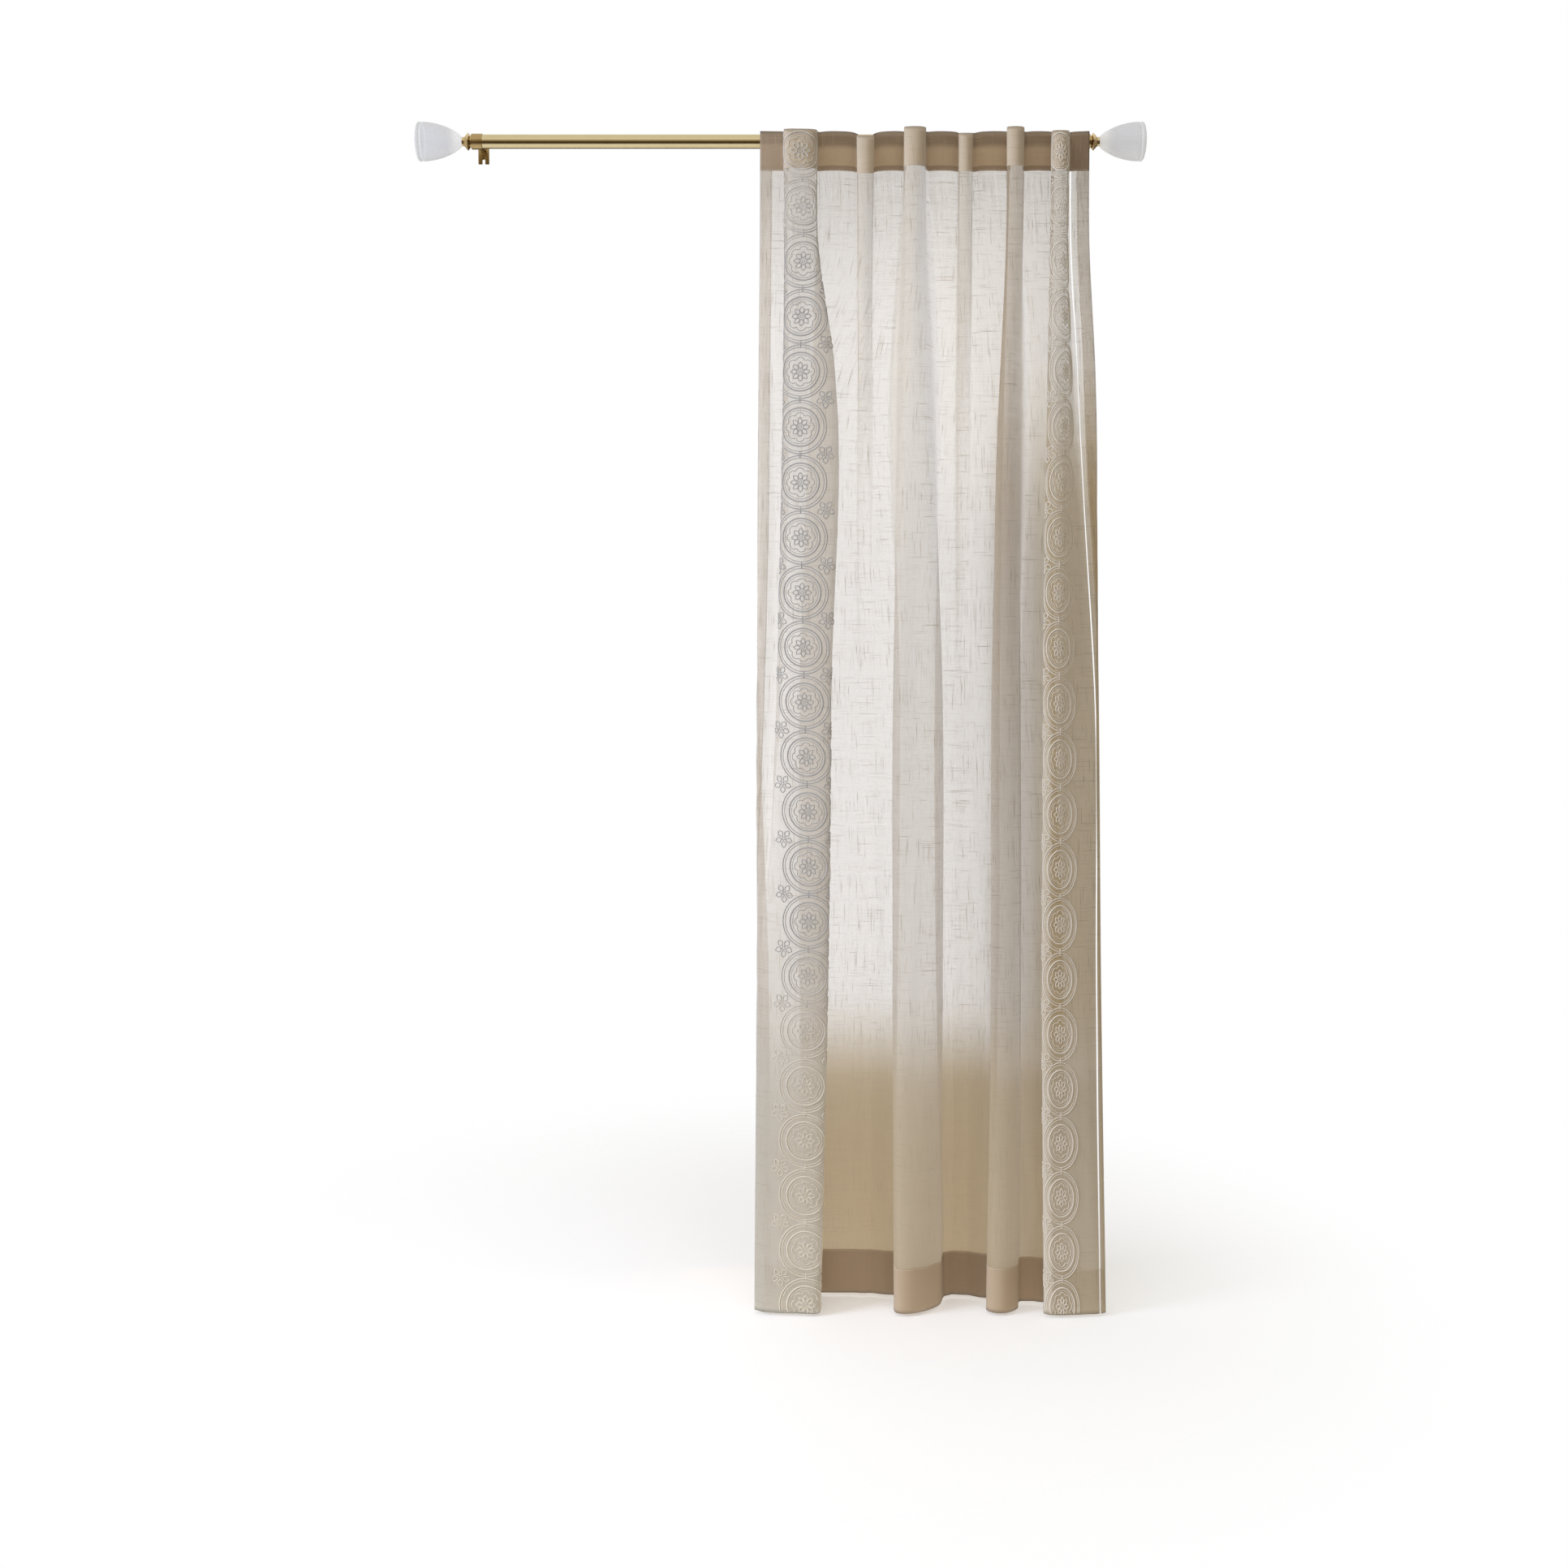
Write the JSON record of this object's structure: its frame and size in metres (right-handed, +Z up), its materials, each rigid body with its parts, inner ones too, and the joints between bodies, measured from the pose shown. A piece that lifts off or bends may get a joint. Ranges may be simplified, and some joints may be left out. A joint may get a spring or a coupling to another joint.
{
  "type": "curtain panel and rod",
  "caption": "Sheer back-tab curtain panel hung in deep uneven folds from one end of a round metal rod with clear bell finials.",
  "frame": {"origin": "middle of the left wall plate's back face", "axes": "+X along the rod to the right as seen from the room, +Y into the wall, +Z up"},
  "size_m": [1.3232, 0.2005, 2.1541],
  "materials": {
    "voile": "matte slub weave, slightly sheer",
    "rod_brass": "polished",
    "bracket_brass": "polished",
    "neck_brass": "polished facets",
    "clear_cast": "clear cast, smooth"
  },
  "bodies": {
    "root": {"panel": "voile", "tab_1": "voile", "tab_2": "voile", "tab_3": "voile", "tab_4": "voile", "tab_5": "voile", "tab_6": "voile", "tab_7": "voile", "rod": "rod_brass", "bracket_left": "bracket_brass", "bracket_right": "bracket_brass", "finial_neck_left": "neck_brass", "finial_neck_right": "neck_brass", "finial_left": "clear_cast", "finial_right": "clear_cast"}
  },
  "joints": []
}
